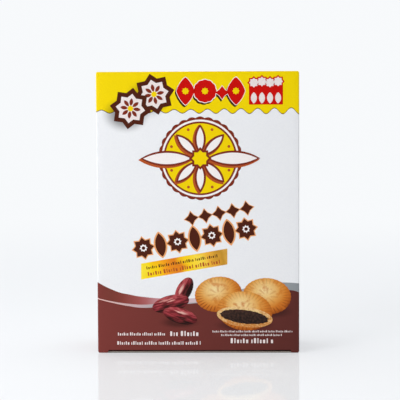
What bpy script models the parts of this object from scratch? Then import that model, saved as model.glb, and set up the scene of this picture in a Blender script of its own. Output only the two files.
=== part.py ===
"""A shut folding carton for filled cookies, standing upright on its bottom closure.

The front panel faces -Y, +X is to the reader's right and +Z is up. The origin is the
middle of the base. The carton is one folded and glued blank, and shut, so it is one solid:
a sleeve of four panels, swollen a little by its contents, with a tucked closure at the top
and another at the bottom, cut out of it as the folds, free edges and slits that show.
"""

import math

import bmesh
import bpy
from mathutils import Vector

# Outside of the shut carton
WIDTH = 0.150
DEPTH = 0.060
HEIGHT = 0.209

# Folding boxboard
BOARD = 0.00045
CREASE_RADIUS = 0.0010
FOLD_RADIUS = 0.0009

# How far the contents push out the middle of a panel
WIDE_PANEL_SWELL = 0.0005
NARROW_PANEL_SWELL = 0.0003

# Closures: each is hinged on the back panel and tucks in behind the front panel
CLOSURE_SIDE_INSET = 0.0006
TUCK_DEPTH = 0.0034
TUCK_LEAN = 0.0011
TUCK_SIDE_INSET = 0.0013
TOP_FOLD_SETBACK = BOARD + 0.00012
BOTTOM_LIP_RECESS = 0.0019
BOTTOM_RECESS_HALF_WIDTH = 0.0673
BOTTOM_FOLD_SETBACK = 0.00025

# Side seam, where the back panel's free edge lies over the glue flap
SEAM_FROM_CORNER = 0.0013
SEAM_WIDTH = 0.0005
SEAM_END_GAP = 0.0016

# Mesh fineness. A cut fold stops short of a full quarter turn, which would graze a flat panel
CREASE_STEPS = 4
FOLD_STEPS = 5
FOLD_SHORT_DEG = 12
SMOOTH_ANGLE = math.radians(32)
WIDE_PANEL_COLUMNS = 10
NARROW_PANEL_COLUMNS = 4
PANEL_ROWS = 14

# How far a cutter runs past the carton
CLEAR = 0.002

BOARD_WHITE = (0.86, 0.87, 0.88, 1.0)
BOARD_ROUGHNESS = 0.38


def clear_scene():
    """Removes whatever the scene starts with."""
    for old in list(bpy.data.objects):
        bpy.data.objects.remove(old, do_unlink=True)


def coated_board():
    """White clay-coated boxboard under a thin varnish."""
    material = bpy.data.materials.new("coated_boxboard")
    material.use_nodes = True
    surface = material.node_tree.nodes["Principled BSDF"]
    surface.inputs["Base Color"].default_value = BOARD_WHITE
    surface.inputs["Roughness"].default_value = BOARD_ROUGHNESS
    surface.inputs["Metallic"].default_value = 0.0
    return material


def add_object(name, shape):
    """Links a bmesh to the scene as a named object."""
    mesh = bpy.data.meshes.new(name)
    shape.to_mesh(mesh)
    shape.free()
    mesh.shade_smooth()
    mesh.set_sharp_from_angle(angle=SMOOTH_ANGLE)
    made = bpy.data.objects.new(name, mesh)
    bpy.context.scene.collection.objects.link(made)
    return made


def arc(centre, radius, start_deg, end_deg, steps):
    """Points along an arc in a plane, both ends included."""
    points = []
    for step in range(steps + 1):
        angle = math.radians(start_deg + (end_deg - start_deg) * step / steps)
        points.append(
            (centre[0] + radius * math.cos(angle), centre[1] + radius * math.sin(angle))
        )
    return points


def slice_evenly(shape, axis, half_span, middle, columns):
    """Cuts a bmesh into columns of equal width along one axis."""
    for column in range(1, columns):
        place = Vector((0, 0, 0))
        place[axis] = middle - half_span + 2 * half_span * column / columns
        normal = Vector((0, 0, 0))
        normal[axis] = 1
        everything = shape.verts[:] + shape.edges[:] + shape.faces[:]
        bmesh.ops.bisect_plane(shape, geom=everything, plane_co=place, plane_no=normal)


def bulge(along, half_span):
    """1 in the middle of a span and 0 at both of its ends."""
    share = min(1.0, abs(along) / half_span)
    return 1 - share * share


def swell(shape):
    """Pushes each panel out in its middle and leaves the creases where they are."""
    flat_half_width = WIDTH / 2 - CREASE_RADIUS
    flat_half_depth = DEPTH / 2 - CREASE_RADIUS
    tolerance = 1e-6
    for vertex in shape.verts:
        x, y, z = vertex.co
        upright = bulge(z - HEIGHT / 2, HEIGHT / 2)
        if abs(abs(y) - DEPTH / 2) < tolerance:
            push = WIDE_PANEL_SWELL * upright * bulge(x, flat_half_width)
            vertex.co.y += math.copysign(push, y)
        elif abs(abs(x) - WIDTH / 2) < tolerance:
            push = NARROW_PANEL_SWELL * upright * bulge(y, flat_half_depth)
            vertex.co.x += math.copysign(push, x)


def is_crease(edge):
    """Whether an edge of the plain block is one of the sleeve's creases or a closure's hinge."""
    start, end = (vertex.co for vertex in edge.verts)
    upright = abs(start.z - end.z) > HEIGHT / 2
    hinge = min(start.y, end.y) > 0 and abs(start.x - end.x) > WIDTH / 2
    return upright or hinge


def make_sleeve():
    """The four panels as one block with rounded creases."""
    shape = bmesh.new()
    bmesh.ops.create_cube(shape, size=1.0)
    bmesh.ops.scale(shape, vec=(WIDTH, DEPTH, HEIGHT), verts=shape.verts)
    bmesh.ops.translate(shape, vec=(0, 0, HEIGHT / 2), verts=shape.verts)
    creases = [edge for edge in shape.edges if is_crease(edge)]
    bmesh.ops.bevel(
        shape, geom=creases, offset=CREASE_RADIUS, segments=CREASE_STEPS, profile=0.5, affect="EDGES"
    )
    slice_evenly(shape, 0, WIDTH / 2 - CREASE_RADIUS, 0, WIDE_PANEL_COLUMNS)
    slice_evenly(shape, 1, DEPTH / 2 - CREASE_RADIUS, 0, NARROW_PANEL_COLUMNS)
    slice_evenly(shape, 2, HEIGHT / 2, HEIGHT / 2, PANEL_ROWS)
    swell(shape)
    return add_object("carton", shape)


def prism(name, outline, start, end):
    """A cutter: an outline of 3D points in one plane, swept from start to end."""
    shape = bmesh.new()
    near = [shape.verts.new(Vector(point) + Vector(start)) for point in outline]
    face = shape.faces.new(near)
    swept = bmesh.ops.extrude_face_region(shape, geom=[face])
    moved = [item for item in swept["geom"] if isinstance(item, bmesh.types.BMVert)]
    bmesh.ops.translate(shape, vec=Vector(end) - Vector(start), verts=moved)
    bmesh.ops.recalc_face_normals(shape, faces=shape.faces)
    cutter = add_object(name, shape)
    cutter.hide_render = True
    cutter.display_type = "WIRE"
    return cutter


def tuck_slit_outline(fold_setback):
    """The slit between the front panel and the tuck flap behind it, from its bottom outwards.

    Points are (inwards from the front panel, inwards from the end of the carton), and
    fold_setback is how far the closure's fold lies behind the front panel's outer face.
    """
    centre = (fold_setback + FOLD_RADIUS, FOLD_RADIUS)
    fold = arc(centre, FOLD_RADIUS, 180, 270 - FOLD_SHORT_DEG, FOLD_STEPS)
    return [
        (BOARD, TUCK_DEPTH),
        (fold_setback + TUCK_LEAN, TUCK_DEPTH),
        *fold,
        (fold[-1][0], -CLEAR),
    ]


def cut_closure_front(name, at_top, outline, half_width):
    """A cutter for the front of one closure, along the carton's width."""
    placed = []
    for inwards, from_end in outline:
        height = HEIGHT - from_end if at_top else from_end
        placed.append((0, inwards - DEPTH / 2, height))
    return prism(name, placed, (-half_width, 0, 0), (half_width, 0, 0))


def cut_top_front():
    """The top closure's slit: the front panel's free edge stands level with the closure."""
    outline = [*tuck_slit_outline(TOP_FOLD_SETBACK), (BOARD, -CLEAR)]
    return cut_closure_front("top_front_cutter", True, outline, WIDTH / 2 - TUCK_SIDE_INSET)


def cut_bottom_front():
    """The bottom closure's slit, and the front panel's free edge, cut back between its corners."""
    outline = [
        *tuck_slit_outline(BOTTOM_FOLD_SETBACK),
        (-CLEAR, -CLEAR),
        (-CLEAR, BOTTOM_LIP_RECESS),
        (BOARD, BOTTOM_LIP_RECESS),
    ]
    return cut_closure_front("bottom_front_cutter", False, outline, BOTTOM_RECESS_HALF_WIDTH)


def cut_closure_side(name, at_top, side):
    """A cutter for one side of one closure, down to the fold of the dust flap under it."""
    centre = (CREASE_RADIUS, BOARD + CREASE_RADIUS)
    stop = 360 - math.degrees(math.acos((CLOSURE_SIDE_INSET - centre[0]) / CREASE_RADIUS))
    fold = arc(centre, CREASE_RADIUS, 180 + FOLD_SHORT_DEG, stop, FOLD_STEPS)
    outline = []
    for inwards, from_end in [(-CLEAR, -CLEAR), (-CLEAR, fold[0][1]), *fold, (CLOSURE_SIDE_INSET, -CLEAR)]:
        height = HEIGHT - from_end if at_top else from_end
        outline.append((side * (WIDTH / 2 - inwards), 0, height))
    reach = DEPTH / 2 + CLEAR
    return prism(name, outline, (0, -reach, 0), (0, reach, 0))


def cut_seam():
    """A cutter for the side seam: the narrow step beside the back panel's free edge."""
    outer = -WIDTH / 2 + SEAM_FROM_CORNER
    inner = outer + SEAM_WIDTH
    back = DEPTH / 2
    outline = [
        (outer, back - BOARD, 0),
        (inner, back - BOARD, 0),
        (inner, back + CLEAR, 0),
        (outer, back + CLEAR, 0),
    ]
    return prism("seam_cutter", outline, (0, 0, SEAM_END_GAP), (0, 0, HEIGHT - SEAM_END_GAP))


def cut(body, cutters):
    """Takes each cutter away from the body with a Boolean modifier."""
    for cutter in cutters:
        modifier = body.modifiers.new(cutter.name, "BOOLEAN")
        modifier.operation = "DIFFERENCE"
        modifier.solver = "EXACT"
        modifier.object = cutter


def build():
    """Makes the carton."""
    clear_scene()
    carton = make_sleeve()
    carton.data.materials.append(coated_board())
    cutters = [cut_bottom_front(), cut_top_front(), cut_seam()]
    for end, at_top in (("bottom", False), ("top", True)):
        for side_name, side in (("left", -1), ("right", 1)):
            cutters.append(cut_closure_side(f"{end}_{side_name}_cutter", at_top, side))
    cut(carton, cutters)


build()
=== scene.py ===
"""Looks of a shut folding carton for date-filled cookies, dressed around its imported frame.

The board is modelled as the blank that it is: four creased panels and a glue flap, dust flaps
and a tucked closure at each end, all folded from one sheet. The print is made of fields of
colour in the board's own finish, and of flat plates of ink that are laid on the panels.

Lengths are in metres on the carton, and in millimetres in the print's own drawings and in
the materials. On a panel, u runs to the reader's right from the panel's middle and v runs up
from the base.
"""

import logging
import math
import random
from collections.abc import Callable, Iterator, Sequence
from contextlib import contextmanager
from dataclasses import dataclass, field
from enum import Enum
from functools import reduce

import bmesh
import bpy
from mathutils import Matrix, Vector

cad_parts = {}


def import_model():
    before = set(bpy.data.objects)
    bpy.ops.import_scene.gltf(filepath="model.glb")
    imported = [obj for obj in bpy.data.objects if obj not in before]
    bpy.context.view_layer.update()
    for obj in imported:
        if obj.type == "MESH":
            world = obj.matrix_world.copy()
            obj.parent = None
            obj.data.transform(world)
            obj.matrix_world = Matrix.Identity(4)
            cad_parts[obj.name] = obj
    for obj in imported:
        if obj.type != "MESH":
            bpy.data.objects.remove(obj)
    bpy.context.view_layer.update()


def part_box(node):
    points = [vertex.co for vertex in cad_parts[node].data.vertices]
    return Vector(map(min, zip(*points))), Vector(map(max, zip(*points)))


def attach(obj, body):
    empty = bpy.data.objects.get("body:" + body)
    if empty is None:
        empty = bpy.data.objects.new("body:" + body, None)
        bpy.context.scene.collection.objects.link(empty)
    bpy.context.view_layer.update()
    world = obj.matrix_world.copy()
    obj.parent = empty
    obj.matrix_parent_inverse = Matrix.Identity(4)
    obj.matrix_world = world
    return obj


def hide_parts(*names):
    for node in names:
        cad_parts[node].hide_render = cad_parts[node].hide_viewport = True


Socket = bpy.types.NodeSocket
Thing = bpy.types.Object
Range = tuple[float, float]
Stops = tuple[tuple[float, str], ...]

log = logging.getLogger("cookie_carton")

MM = 0.001
CAD_NODE = "carton"
BODY = "root"

# The solid's panels swell by this much, which its box includes
SOLID_WIDE_SWELL = 0.5 * MM
SOLID_NARROW_SWELL = 0.3 * MM

# Two places closer than this are the same
NEAR = 0.01 * MM

# A face whose normal points this much one way belongs to the panel there
FLAT_ON = 0.99

# A scale so large that it flattens a picture's depth away
FLATTEN = 1e6


def linear(colour: str) -> tuple[float, float, float, float]:
    """Turns a hex colour such as #ffffff into Blender's linear red, green, blue and alpha."""
    channels = [int(colour[start : start + 2], 16) / 255 for start in (1, 3, 5)]
    return (*[c / 12.92 if c <= 0.04045 else ((c + 0.055) / 1.055) ** 2.4 for c in channels], 1.0)


def take(*things: Thing) -> None:
    """Selects these objects alone, and makes the first of them active.

    Args:
        things: What to select. With none, nothing stays selected.
    """
    bpy.ops.object.select_all(action="DESELECT")
    for thing in things:
        thing.select_set(True)
    if things:
        bpy.context.view_layer.objects.active = things[0]


@contextmanager
def editing(thing: Thing) -> Iterator[None]:
    """Opens an object for editing and closes it again.

    Args:
        thing: The object to edit.

    Yields:
        Nothing.
    """
    take(thing)
    bpy.ops.object.mode_set(mode="EDIT")
    yield
    bpy.ops.object.mode_set(mode="OBJECT")


def pick(kind: str, wanted: Callable[[object], bool]) -> None:
    """Selects the parts of the mesh being edited that pass a test, and no others.

    Args:
        kind: VERT, EDGE or FACE.
        wanted: Whether one of them is to be selected.
    """
    bpy.ops.mesh.select_mode(type=kind)
    bpy.ops.mesh.select_all(action="DESELECT")
    mesh = bmesh.from_edit_mesh(bpy.context.edit_object.data)
    for item in {"VERT": mesh.verts, "EDGE": mesh.edges, "FACE": mesh.faces}[kind]:
        if wanted(item):
            item.select_set(True)
    mesh.select_flush_mode()
    bmesh.update_edit_mesh(bpy.context.edit_object.data)


def pick_edges(wanted: Callable[[Vector], bool]) -> None:
    """Selects the edges of the mesh being edited that have both ends at wanted places."""
    pick("EDGE", lambda edge: all(wanted(vert.co) for vert in edge.verts))


def span(edge: bmesh.types.BMEdge, axis: int) -> float:
    """Gives how far an edge reaches along one axis."""
    return abs(edge.verts[0].co[axis] - edge.verts[1].co[axis])


def extrude(x: float, y: float, z: float) -> None:
    """Runs the selected edges on by one straight step."""
    bpy.ops.mesh.extrude_region_move(TRANSFORM_OT_translate={"value": (x, y, z)})


def swell(u: float, v: float, half_width: float, height: float, rise: float) -> float:
    """Gives how far a panel's middle is pushed out by what the carton holds.

    Args:
        u: How far the place is from the panel's middle line.
        v: Its height above the base.
        half_width: Half the panel's flat width.
        height: The panel's height.
        rise: How far out the panel's very middle stands.

    Returns:
        How far out the place stands, in the units of rise.
    """
    across = max(0.0, 1 - (u / half_width) ** 2)
    upright = max(0.0, 1 - ((v - height / 2) / (height / 2)) ** 2)
    return rise * across * upright


@dataclass(frozen=True)
class Form:
    """The shut carton's sizes in metres, all worked out from the frame's box and the board."""

    width: float
    depth: float
    height: float
    board: float = 0.45 * MM
    crease: float = 1.0 * MM
    fold: float = 0.9 * MM
    gap: float = 0.05 * MM
    wide_rise: float = 0.28 * MM
    narrow_rise: float = 0.16 * MM
    closure_dip: float = 0.20 * MM

    @classmethod
    def from_frame(cls) -> "Form":
        """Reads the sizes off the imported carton, less the swell that its panels have.

        Returns:
            The carton's sizes.
        """
        low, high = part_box(CAD_NODE)
        return cls(
            width=round(high.x - low.x - 2 * SOLID_NARROW_SWELL, 5),
            depth=round(high.y - low.y - 2 * SOLID_WIDE_SWELL, 5),
            height=round(high.z - low.z, 5),
        )

    @property
    def flat_half_width(self) -> float:
        """Half the front panel, between its creases."""
        return self.width / 2 - self.crease

    @property
    def flat_half_depth(self) -> float:
        """Half a side panel, between its creases."""
        return self.depth / 2 - self.crease

    @property
    def dust_drop(self) -> float:
        """How far below the carton's end a dust flap's fold starts."""
        return self.board + self.gap + self.crease

    def out(self, panel: "Panel", u: float, v: float) -> float:
        """Gives how far out a place on a panel stands.

        Args:
            panel: The panel.
            u: The place to the right of the panel's middle, in metres.
            v: The place above the base, or towards the panel's top edge, in metres.

        Returns:
            The distance from the flat panel, in metres.
        """
        if panel in (Panel.FRONT, Panel.BACK):
            return swell(u, v, self.flat_half_width, self.height, self.wide_rise)
        if panel in (Panel.LEFT, Panel.RIGHT):
            return swell(u, v, self.flat_half_depth, self.height, self.narrow_rise)
        return -swell(u, v + self.depth / 2, self.flat_half_width, self.depth, self.closure_dip)


class Panel(Enum):
    """The carton's six panels, each with a reader who looks at it straight on."""

    FRONT = "front"
    BACK = "back"
    LEFT = "left"
    RIGHT = "right"
    TOP = "top"
    BOTTOM = "bottom"

    def stand(self, form: Form) -> Matrix:
        """Gives the move that takes a drawing to this panel.

        A drawing is flat in X and Z with its reader at -Y, as on the front panel.

        Args:
            form: The carton's sizes.

        Returns:
            The turn and the shift as one matrix.
        """
        degrees, axis, reach = {
            Panel.FRONT: (0, "Z", form.depth / 2),
            Panel.RIGHT: (90, "Z", form.width / 2),
            Panel.BACK: (180, "Z", form.depth / 2),
            Panel.LEFT: (-90, "Z", form.width / 2),
            Panel.TOP: (-90, "X", form.height),
            Panel.BOTTOM: (90, "X", 0.0),
        }[self]
        turn = Matrix.Rotation(math.radians(degrees), 4, axis)
        return Matrix.Translation(turn @ Vector((0, -reach, 0))) @ turn


@dataclass
class FoldedBlank:
    """The carton's one sheet of board, folded, glued and shut."""

    form: Form
    rows: int = 42
    wide_columns: int = 30
    narrow_columns: int = 12
    crease_steps: int = 6
    fold_steps: int = 6
    smooth_degrees: float = 34
    lip_recess: float = 2.3 * MM
    lip_ends: Range = (-67.9 * MM, 69.6 * MM)
    lip_corner: float = 0.9 * MM
    front_lift: float = 0.28 * MM
    flap_length: float = 22 * MM
    flap_relief: float = 1.2 * MM
    tuck_length: float = 14 * MM
    top_tuck_lean: float = 3.5 * MM
    bottom_tuck_lean: float = 9.0 * MM
    top_fold_back: float = 0.57 * MM
    bottom_fold_back: float = 1.15 * MM
    seam_from_crease: float = 0.3 * MM
    seam_width: float = 0.5 * MM
    seam_clearance: float = 0.1 * MM
    glue_flap: float = 12 * MM

    @property
    def seam_start(self) -> float:
        """Where the back panel's free edge lies, beside the rear left crease."""
        return -self.form.flat_half_width + self.seam_from_crease

    def build(self, outside: "Finish", edge: "Finish", inside: "Finish") -> Thing:
        """Folds the blank and gives the sheet its thickness.

        Args:
            outside: The finish of the printed face.
            edge: The finish of a cut edge.
            inside: The finish of the face inside the carton.

        Returns:
            The finished carton.
        """
        sheet = self.make_sleeve()
        with editing(sheet):
            self.cut_lip()
            self.open_seam()
            self.ease_ends()
            self.fold_dust_flaps()
            self.fold_closures()
            self.glue_seam()
            self.face_outwards()
        self.push_out(sheet)
        for finish in (outside, edge, inside):
            sheet.data.materials.append(finish.build())
        take(sheet)
        thickness = sheet.modifiers.new("board_thickness", "SOLIDIFY")
        thickness.thickness = self.form.board
        thickness.offset = -1
        thickness.use_even_offset = True
        thickness.material_offset_rim = 1
        thickness.material_offset = 2
        bpy.ops.object.modifier_apply(modifier=thickness.name)
        bpy.ops.object.shade_smooth_by_angle(angle=math.radians(self.smooth_degrees))
        BakeMap(self.form).lay_out(sheet)
        return sheet

    def make_sleeve(self) -> Thing:
        """Makes the four panels as an open tube with rounded upright creases.

        Returns:
            The tube.
        """
        form = self.form
        take()
        bpy.ops.mesh.primitive_cube_add(
            size=1,
            location=(0, 0, form.height / 2),
            scale=(form.width, form.depth, form.height),
        )
        sheet = bpy.context.object
        sheet.name = "carton_board"
        bpy.ops.object.transform_apply()
        with editing(sheet):
            pick("FACE", lambda face: abs(face.normal.z) > 0.5)
            bpy.ops.mesh.delete(type="ONLY_FACE")
            pick("EDGE", lambda edge: span(edge, 2) > form.height / 2)
            bpy.ops.mesh.bevel(offset=form.crease, segments=self.crease_steps, affect="EDGES")
            for axis, length, count in (
                (2, form.height, self.rows),
                (0, form.width, self.wide_columns),
                (1, form.depth, self.narrow_columns),
            ):
                pick("EDGE", lambda edge: span(edge, axis) > length / 2)
                bpy.ops.mesh.subdivide(number_cuts=count - 1)
        return sheet

    def bisect_panel(self, side: int, *places: float) -> None:
        """Cuts the front or the back panel upright.

        Args:
            side: The panel: -1 for the front and 1 for the back.
            places: Where the cuts are, across the panel.
        """
        for place in places:
            pick("FACE", lambda face: face.normal.y * side > FLAT_ON)
            bpy.ops.mesh.bisect(plane_co=(place, 0, 0), plane_no=(1, 0, 0))

    def cut_lip(self) -> None:
        """Cuts the front panel's lower edge back between its two corners."""
        left, right = self.lip_ends
        inner_left, inner_right = left + self.lip_corner, right - self.lip_corner
        self.bisect_panel(-1, left, inner_left, inner_right, right)
        pick(
            "VERT",
            lambda vert: vert.co.y < -self.form.depth / 2 + NEAR
            and vert.co.z < NEAR
            and inner_left - NEAR < vert.co.x < inner_right + NEAR,
        )
        bpy.ops.transform.translate(value=(0, 0, self.lip_recess))

    def open_seam(self) -> None:
        """Frees the back panel's edge beside the rear crease where the sheet meets itself."""
        self.bisect_panel(1, self.seam_start, self.seam_start + self.seam_width)
        middle = self.seam_start + self.seam_width / 2
        pick(
            "FACE",
            lambda face: face.normal.y > FLAT_ON
            and abs(face.calc_center_median().x - middle) < self.seam_width / 4,
        )
        bpy.ops.mesh.delete(type="FACE")

    def ease_ends(self) -> None:
        """Sets each panel's ends to where its own fold starts, easing round the corners."""
        form = self.form
        mesh = bmesh.from_edit_mesh(bpy.context.edit_object.data)
        for end, inward, front_start in ((form.height, -1, 0.0), (0.0, 1, self.front_lift)):
            for vert in [vert for vert in mesh.verts if abs(vert.co.z - end) < NEAR]:
                start = form.crease if vert.co.y > 0 else front_start
                round_corner = max(0.0, abs(vert.co.x) - form.flat_half_width) / form.crease
                vert.co.z += inward * (start + (form.dust_drop - start) * round_corner**2)
        bmesh.update_edit_mesh(bpy.context.edit_object.data)

    def fold_over(self, centre: Sequence[float], axis: Sequence[float]) -> None:
        """Runs the selected edges on round a quarter turn, left-handed about an axis."""
        bpy.ops.mesh.spin(steps=self.fold_steps, angle=math.pi / 2, center=centre, axis=axis)

    def fold_dust_flaps(self) -> None:
        """Folds a dust flap in from each side panel, at the top and at the bottom."""
        form = self.form
        front = -form.flat_half_depth + self.flap_relief
        for end, up in ((form.height - form.dust_drop, 1), (form.dust_drop, -1)):
            for side in (-1, 1):
                pick_edges(
                    lambda place: abs(place.x * side - form.width / 2) < NEAR
                    and abs(place.z - end) < NEAR
                    and place.y > front
                )
                self.fold_over((side * form.flat_half_width, 0, end), (0, side * up, 0))
                extrude(-side * self.flap_length, 0, 0)

    def fold_closures(self) -> None:
        """Folds each closure forward from the back panel and tucks it in behind the front."""
        form = self.form
        hinge_y = form.depth / 2 - form.crease
        clear_of_seam = self.seam_start + self.seam_clearance
        for end, up, lean, back in (
            (form.height, 1, self.top_tuck_lean, self.top_fold_back),
            (0.0, -1, self.bottom_tuck_lean, self.bottom_fold_back),
        ):
            start = end - up * form.crease
            fold_y = -form.depth / 2 + back + form.fold
            pick_edges(
                lambda place: abs(place.y - form.depth / 2) < NEAR
                and abs(place.z - start) < NEAR
                and place.x > clear_of_seam
            )
            self.fold_over((0, hinge_y, start), (-up, 0, 0))
            for _ in range(self.narrow_columns):
                extrude(0, (fold_y - hinge_y) / self.narrow_columns, 0)
            self.fold_over((0, fold_y, end - up * form.fold), (-up, 0, 0))
            extrude(0, lean, -up * self.tuck_length)

    def glue_seam(self) -> None:
        """Runs the rear crease on, down and under the back panel, as the glue flap."""
        form = self.form
        pick_edges(
            lambda place: abs(place.x - self.seam_start) < NEAR and place.y > form.depth / 2 - NEAR
        )
        extrude(self.seam_width, -(form.board + form.gap), 0)
        extrude(self.glue_flap, 0, 0)

    def face_outwards(self) -> None:
        """Turns every face of the sheet outwards."""
        bpy.ops.mesh.select_all(action="SELECT")
        bpy.ops.mesh.normals_make_consistent(inside=False)
        mesh = bmesh.from_edit_mesh(bpy.context.edit_object.data)
        middle = Vector((0, -self.form.depth / 2, self.form.height / 2))
        front = min(mesh.faces, key=lambda face: (face.calc_center_median() - middle).length)
        if front.normal.y > 0:
            bpy.ops.mesh.flip_normals()

    def push_out(self, sheet: Thing) -> None:
        """Swells the four panels, and lets the two closures dip, as the contents make them.

        Args:
            sheet: The folded sheet, before it has a thickness.
        """
        form = self.form
        for vert in sheet.data.vertices:
            x, y, z = vert.co
            if abs(abs(y) - form.depth / 2) < NEAR:
                vert.co.y += math.copysign(form.out(Panel.FRONT, x, z), y)
            elif abs(abs(x) - form.width / 2) < NEAR:
                vert.co.x += math.copysign(form.out(Panel.LEFT, y, z), x)
            elif min(z, form.height - z) < NEAR:
                vert.co.z += form.out(Panel.TOP, x, y) * math.copysign(1, z - form.height / 2)


@dataclass(frozen=True)
class BakeMap:
    """Where each panel lies on the carton's map, with the front drawn the largest."""

    form: Form
    unprinted: tuple[float, ...] = (0.85, 0.1, 0.1, 0.1)

    def areas(self) -> dict[Panel, tuple[float, ...]]:
        """Gives where each panel lies on the map.

        Returns:
            Each panel's left, bottom, width and height.
        """
        return {
            Panel.FRONT: (0.005, 0.005, 0.571, 0.796),
            Panel.BACK: (0.585, 0.425, 0.41, 0.571),
            Panel.LEFT: (0.585, 0.01, 0.115, 0.405),
            Panel.RIGHT: (0.71, 0.01, 0.115, 0.405),
            Panel.TOP: (0.005, 0.815, 0.43, 0.175),
            Panel.BOTTOM: (0.84, 0.01, 0.15, 0.06),
        }

    def panel_of(self, normal: Vector) -> Panel:
        """Gives the panel that a face belongs to.

        Args:
            normal: The way that the face points.

        Returns:
            The panel.
        """
        axis = max(range(3), key=lambda number: abs(normal[number]))
        sides = ((Panel.LEFT, Panel.RIGHT), (Panel.FRONT, Panel.BACK), (Panel.BOTTOM, Panel.TOP))
        return sides[axis][int(normal[axis] > 0)]

    def lay_out(self, sheet: Thing) -> None:
        """Adds the map to the carton.

        Args:
            sheet: The finished board.
        """
        form = self.form
        layer = sheet.data.uv_layers.new(name="OFBake")
        areas = self.areas()
        moves = {panel: panel.stand(form).inverted() for panel in Panel}
        for face in sheet.data.polygons:
            panel = self.panel_of(face.normal)
            lies_flat = panel in (Panel.TOP, Panel.BOTTOM)
            printed = face.material_index == 0
            left, bottom, width, height = areas[panel] if printed else self.unprinted
            tall = form.depth if lies_flat else form.height
            wide = form.depth if panel in (Panel.LEFT, Panel.RIGHT) else form.width
            base = tall / 2 if lies_flat else 0.0
            for loop in face.loop_indices:
                place = moves[panel] @ sheet.data.vertices[sheet.data.loops[loop].vertex_index].co
                across = min(1.0, max(0.0, place.x / wide + 0.5))
                upwards = min(1.0, max(0.0, (place.z + base) / tall))
                layer.data[loop].uv = (left + width * across, bottom + height * upwards)


@dataclass
class Nodes:
    """The nodes of one material as it is put together, and the place that is being shaded."""

    tree: bpy.types.NodeTree
    place: Socket = field(init=False)

    def __post_init__(self) -> None:
        """Starts with the shaded point's place in the piece's own frame, in millimetres."""
        where = self.add("TexCoord", out="Object")
        self.place = self.add("VectorMath", {0: where, "Scale": 1 / MM}, operation="SCALE")

    def feed(self, node: bpy.types.Node, feeds: dict) -> None:
        """Sets or links a node's inputs.

        Args:
            node: The node.
            feeds: For each input, by name or number, a value, a hex colour or a socket.
        """
        for name, value in feeds.items():
            if isinstance(value, Socket):
                self.tree.links.new(value, node.inputs[name])
            else:
                node.inputs[name].default_value = linear(value) if isinstance(value, str) else value

    def add(
        self, kind: str, *feeds: object, out: str | int = 0, stops: Stops = (), **settings: object
    ) -> Socket:
        """Adds a node with its settings and links.

        Args:
            kind: Blender's name for the node's type, without ShaderNode in front.
            feeds: What its inputs get in their order, or one dict as for feed.
            out: The output that is wanted.
            stops: A colour ramp's places and colours.
            settings: The node's own settings.

        Returns:
            The wanted output.
        """
        node = self.tree.nodes.new(f"ShaderNode{kind}")
        for name, value in settings.items():
            setattr(node, name, value)
        for number, (at, tint) in enumerate(stops):
            marks = node.color_ramp.elements
            mark = marks[number] if number < 2 else marks.new(at)
            mark.position = at
            mark.color = linear(tint)
        named = feeds and isinstance(feeds[0], dict)
        self.feed(node, feeds[0] if named else dict(enumerate(feeds)))
        return node.outputs[out]

    def layer(self, ground: Socket | str, *coats: tuple[object, Socket | str]) -> Socket:
        """Lays colours over each other.

        Args:
            ground: The lowest colour.
            coats: Each further one: how far it covers what lies under it, and its colour.

        Returns:
            The colour that shows.
        """
        for share, colour in coats:
            ground = self.add("Mix", {0: share, 6: ground, 7: colour}, out=2, data_type="RGBA")
        return ground

    def patches(
        self,
        grain_mm: float,
        cut: Range = (0.35, 0.65),
        span_of: Range = (0.0, 1.0),
        detail: float = 3.0,
    ) -> Socket:
        """Gives soft random patches. The noise is cut at two values and spans two others."""
        feeds = {"Vector": self.place, "Scale": 1 / grain_mm, "Detail": detail}
        return self.add("MapRange", self.add("TexNoise", feeds), *cut, *span_of)

    def in_box(self, low: Sequence[float], high: Sequence[float]) -> Socket:
        """Tells whether the shaded place lies in a box.

        Args:
            low: The box's least x, y and z, in millimetres.
            high: Its greatest.

        Returns:
            1 in the box and 0 outside it.
        """
        inside = 1.0
        parts = self.add("SeparateXYZ", self.place).node.outputs
        for part, least, most in zip(parts, low, high):
            middle, half = (least + most) / 2, (most - least) / 2
            near = self.add("Math", part, middle, half, operation="COMPARE")
            inside = self.add("Math", inside, near, operation="MULTIPLY")
        return inside


@dataclass(frozen=True)
class Spot:
    """Where a drawing goes, in millimetres, with its turn in degrees and its stretch."""

    u: float = 0.0
    v: float = 0.0
    turn: float = 0.0
    wide: float = 1.0
    tall: float = 1.0

    def mapping(self) -> dict[str, tuple[float, float, float]]:
        """Gives the front panel as a picture on this spot sees it.

        Returns:
            A Mapping node's values, for a node of the type TEXTURE.
        """
        return {
            "Location": (self.u, 0.0, self.v),
            "Rotation": (0.0, -math.radians(self.turn), 0.0),
            "Scale": (self.wide, FLATTEN, self.tall),
        }


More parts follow.
